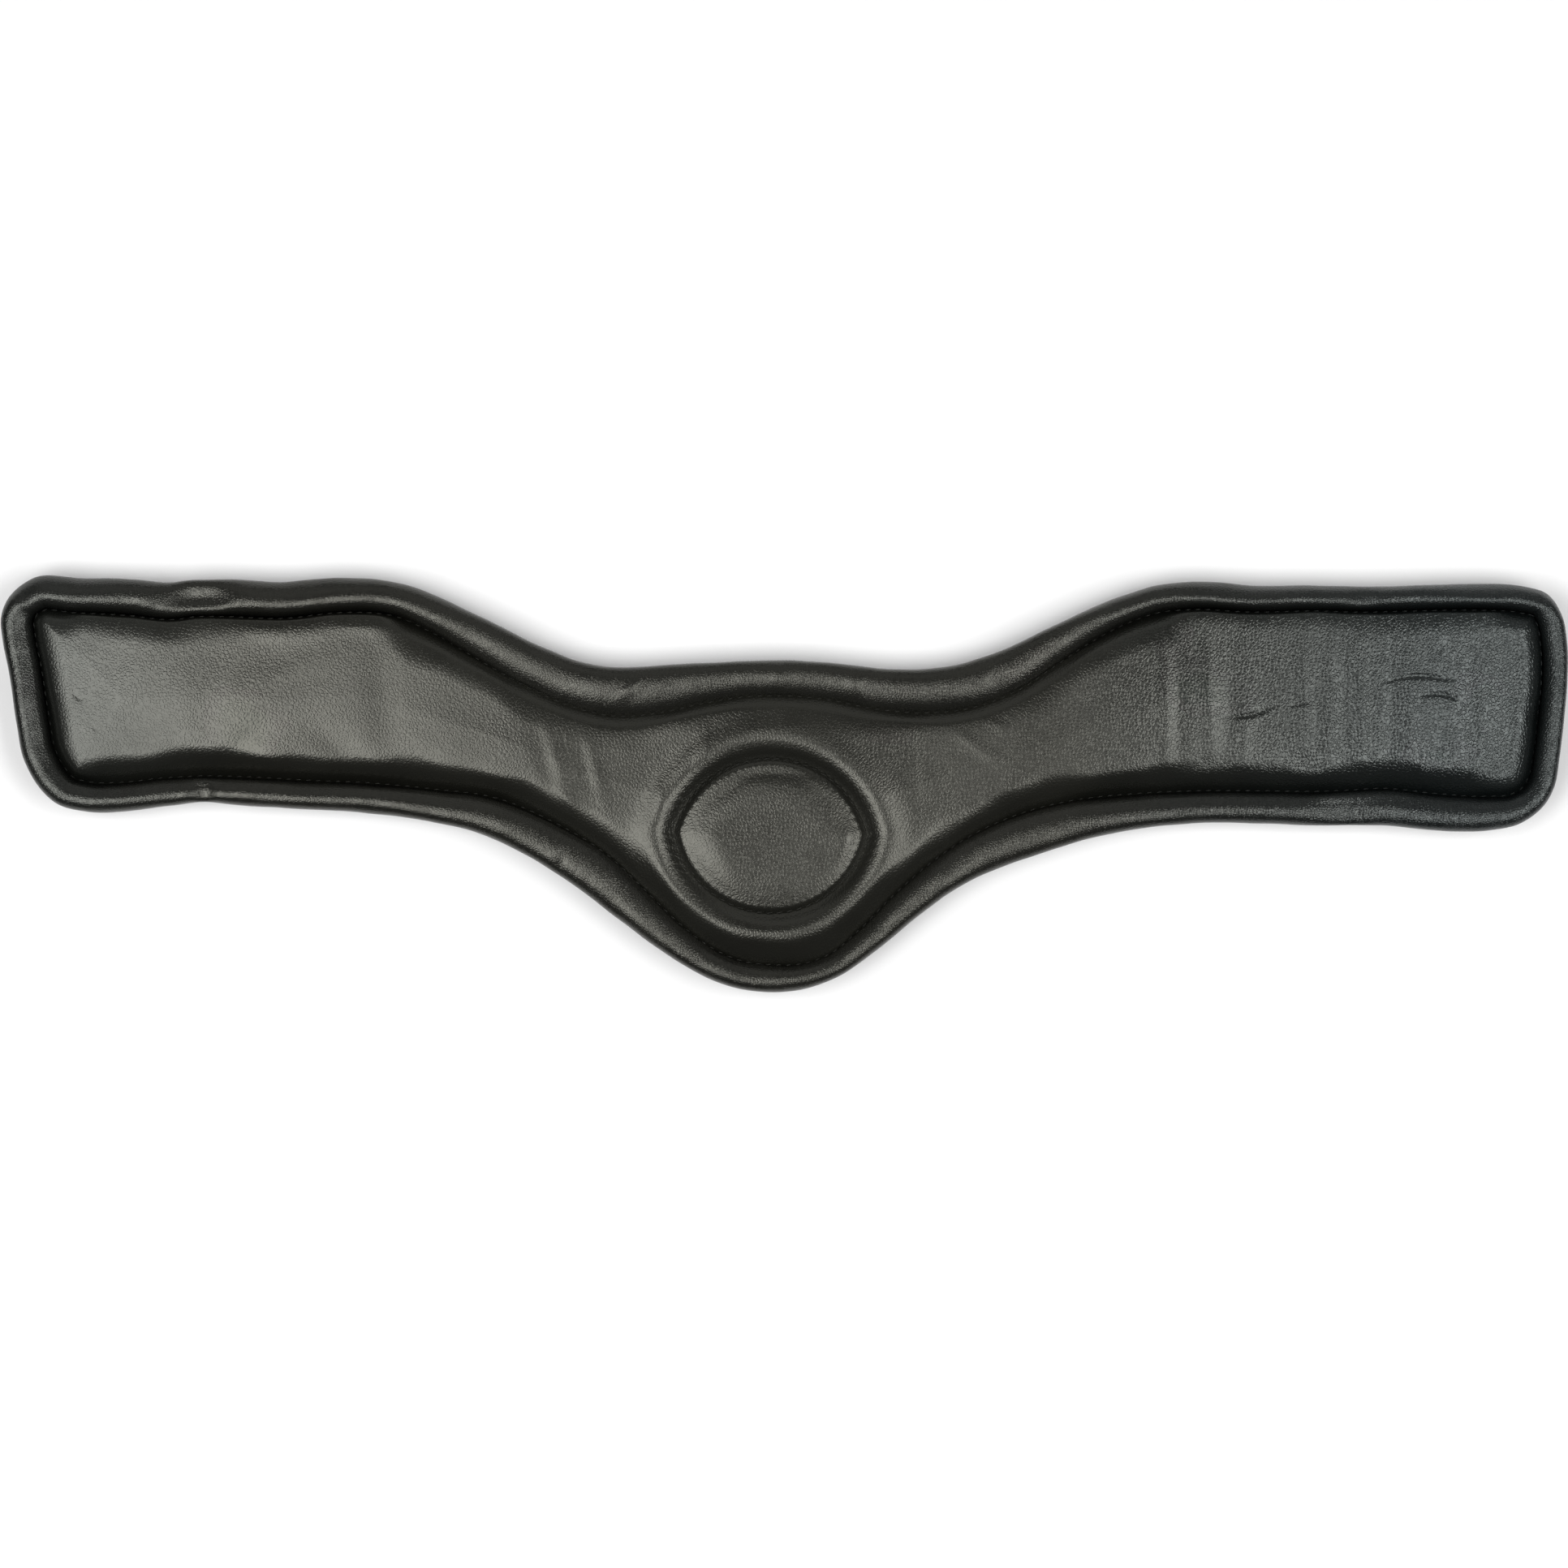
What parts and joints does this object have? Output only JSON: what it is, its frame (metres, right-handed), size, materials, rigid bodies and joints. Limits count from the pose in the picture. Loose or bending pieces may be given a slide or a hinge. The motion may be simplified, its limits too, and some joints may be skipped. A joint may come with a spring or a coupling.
{
  "type": "saddle girth",
  "caption": "Short padded leather saddle girth with a belly bulge, stitched centre pad, roller buckles on elastic at each end and a ring at the front edge.",
  "frame": {"origin": "centre of the bounding box in X and Y, at the surface the girth lies on", "axes": "+X along the girth to its right end, -Y towards the front edge with the belly bulge, +Z out of the padded horse side"},
  "size_m": [0.7001, 0.1857, 0.0284],
  "materials": {
    "lining_leather": "smooth black leather, satin, fine grain",
    "rim_leather": "soft black leather over foam, satin",
    "outer_leather": "firm black bridle leather",
    "strap_leather": "black strap leather with waxed edges",
    "foam": "closed-cell foam",
    "web": "woven tensile web",
    "elastic": "ribbed woven elastic",
    "buckle_metal": "polished stainless steel"
  },
  "bodies": {
    "centre": {"outer_shell_centre": "outer_leather", "reinforcing_strip_centre": "strap_leather", "tensile_web_centre": "web", "foam_base_centre": "foam", "lining_panel_centre": "lining_leather", "rim_roll_centre_rear": "rim_leather", "rim_core_centre_rear": "foam", "rim_roll_centre_front": "rim_leather", "rim_core_centre_front": "foam", "centre_pad": "lining_leather", "centre_pad_foam": "foam", "ring_tab": "strap_leather"},
    "centre_ring": {"centre_ring": "buckle_metal"},
    "left_wing": {"outer_shell_left": "outer_leather", "reinforcing_strip_left": "strap_leather", "tensile_web_left": "web", "foam_base_left": "foam", "lining_panel_left": "lining_leather", "rim_roll_left": "rim_leather", "rim_core_left": "foam", "anchor_patch_left": "strap_leather", "keeper_band_left": "strap_leather", "elastic_left_rear": "elastic", "elastic_left_front": "elastic"},
    "left_rear_frame": {"buckle_frame_left_rear": "buckle_metal"},
    "left_rear_roller": {"buckle_roller_left_rear": "buckle_metal"},
    "left_rear_tongue": {"buckle_tongue_left_rear": "buckle_metal"},
    "left_rear_chape": {"buckle_chape_left_rear": "strap_leather"},
    "left_front_frame": {"buckle_frame_left_front": "buckle_metal"},
    "left_front_roller": {"buckle_roller_left_front": "buckle_metal"},
    "left_front_tongue": {"buckle_tongue_left_front": "buckle_metal"},
    "left_front_chape": {"buckle_chape_left_front": "strap_leather"},
    "right_wing": {"outer_shell_right": "outer_leather", "reinforcing_strip_right": "strap_leather", "tensile_web_right": "web", "foam_base_right": "foam", "lining_panel_right": "lining_leather", "rim_roll_right": "rim_leather", "rim_core_right": "foam", "anchor_patch_right": "strap_leather", "keeper_band_right": "strap_leather", "elastic_right_rear": "elastic", "elastic_right_front": "elastic"},
    "right_rear_frame": {"buckle_frame_right_rear": "buckle_metal"},
    "right_rear_roller": {"buckle_roller_right_rear": "buckle_metal"},
    "right_rear_tongue": {"buckle_tongue_right_rear": "buckle_metal"},
    "right_rear_chape": {"buckle_chape_right_rear": "strap_leather"},
    "right_front_frame": {"buckle_frame_right_front": "buckle_metal"},
    "right_front_roller": {"buckle_roller_right_front": "buckle_metal"},
    "right_front_tongue": {"buckle_tongue_right_front": "buckle_metal"},
    "right_front_chape": {"buckle_chape_right_front": "strap_leather"}
  },
  "joints": [
    {"name": "left_fold", "type": "hinge", "parent": "centre", "child": "left_wing", "pos_m": [-0.14, 0, 0.01195], "axis": [0, 1, 0], "range_deg": [0, 60], "stiffness_Nm_per_rad": 1.2},
    {"name": "left_rear_stretch", "type": "slide", "parent": "left_wing", "child": "left_rear_chape", "axis": [-1, 0, 0], "range_m": [0, 0.035], "stiffness_N_per_m": 1500, "deforming": ["elastic_left_rear"]},
    {"name": "left_rear_frame_swing", "type": "hinge", "parent": "left_rear_chape", "child": "left_rear_frame", "pos_m": [-0.298, 0.0655, 0.0065], "axis": [0, -1, 0], "range_deg": [0, 90]},
    {"name": "left_rear_tongue_swing", "type": "hinge", "parent": "left_rear_frame", "child": "left_rear_tongue", "pos_m": [-0.298, 0.0655, 0.0065], "axis": [0, -1, 0], "range_deg": [0, 60]},
    {"name": "left_rear_roller_turn", "type": "hinge", "parent": "left_rear_frame", "child": "left_rear_roller", "pos_m": [-0.334, 0.0655, 0.0065], "axis": [0, 1, 0], "continuous": true},
    {"name": "left_front_stretch", "type": "slide", "parent": "left_wing", "child": "left_front_chape", "axis": [-1, 0, 0], "range_m": [0, 0.035], "stiffness_N_per_m": 1500, "deforming": ["elastic_left_front"]},
    {"name": "left_front_frame_swing", "type": "hinge", "parent": "left_front_chape", "child": "left_front_frame", "pos_m": [-0.298, 0.0245, 0.0065], "axis": [0, -1, 0], "range_deg": [0, 90]},
    {"name": "left_front_tongue_swing", "type": "hinge", "parent": "left_front_frame", "child": "left_front_tongue", "pos_m": [-0.298, 0.0245, 0.0065], "axis": [0, -1, 0], "range_deg": [0, 60]},
    {"name": "left_front_roller_turn", "type": "hinge", "parent": "left_front_frame", "child": "left_front_roller", "pos_m": [-0.334, 0.0245, 0.0065], "axis": [0, 1, 0], "continuous": true},
    {"name": "right_fold", "type": "hinge", "parent": "centre", "child": "right_wing", "pos_m": [0.14, 0, 0.01195], "axis": [0, -1, 0], "range_deg": [0, 60], "stiffness_Nm_per_rad": 1.2},
    {"name": "right_rear_stretch", "type": "slide", "parent": "right_wing", "child": "right_rear_chape", "axis": [1, 0, 0], "range_m": [0, 0.035], "stiffness_N_per_m": 1500, "deforming": ["elastic_right_rear"]},
    {"name": "right_rear_frame_swing", "type": "hinge", "parent": "right_rear_chape", "child": "right_rear_frame", "pos_m": [0.298, 0.0575, 0.0065], "axis": [0, 1, 0], "range_deg": [0, 90]},
    {"name": "right_rear_tongue_swing", "type": "hinge", "parent": "right_rear_frame", "child": "right_rear_tongue", "pos_m": [0.298, 0.0575, 0.0065], "axis": [0, 1, 0], "range_deg": [0, 60]},
    {"name": "right_rear_roller_turn", "type": "hinge", "parent": "right_rear_frame", "child": "right_rear_roller", "pos_m": [0.334, 0.0575, 0.0065], "axis": [0, 1, 0], "continuous": true},
    {"name": "right_front_stretch", "type": "slide", "parent": "right_wing", "child": "right_front_chape", "axis": [1, 0, 0], "range_m": [0, 0.035], "stiffness_N_per_m": 1500, "deforming": ["elastic_right_front"]},
    {"name": "right_front_frame_swing", "type": "hinge", "parent": "right_front_chape", "child": "right_front_frame", "pos_m": [0.298, 0.0165, 0.0065], "axis": [0, 1, 0], "range_deg": [0, 90]},
    {"name": "right_front_tongue_swing", "type": "hinge", "parent": "right_front_frame", "child": "right_front_tongue", "pos_m": [0.298, 0.0165, 0.0065], "axis": [0, 1, 0], "range_deg": [0, 60]},
    {"name": "right_front_roller_turn", "type": "hinge", "parent": "right_front_frame", "child": "right_front_roller", "pos_m": [0.334, 0.0165, 0.0065], "axis": [0, 1, 0], "continuous": true},
    {"name": "ring_swing", "type": "hinge", "parent": "centre", "child": "centre_ring", "pos_m": [-0.0057, -0.058, 0.0068], "axis": [1, 0, 0], "range_deg": [0, 150]}
  ]
}
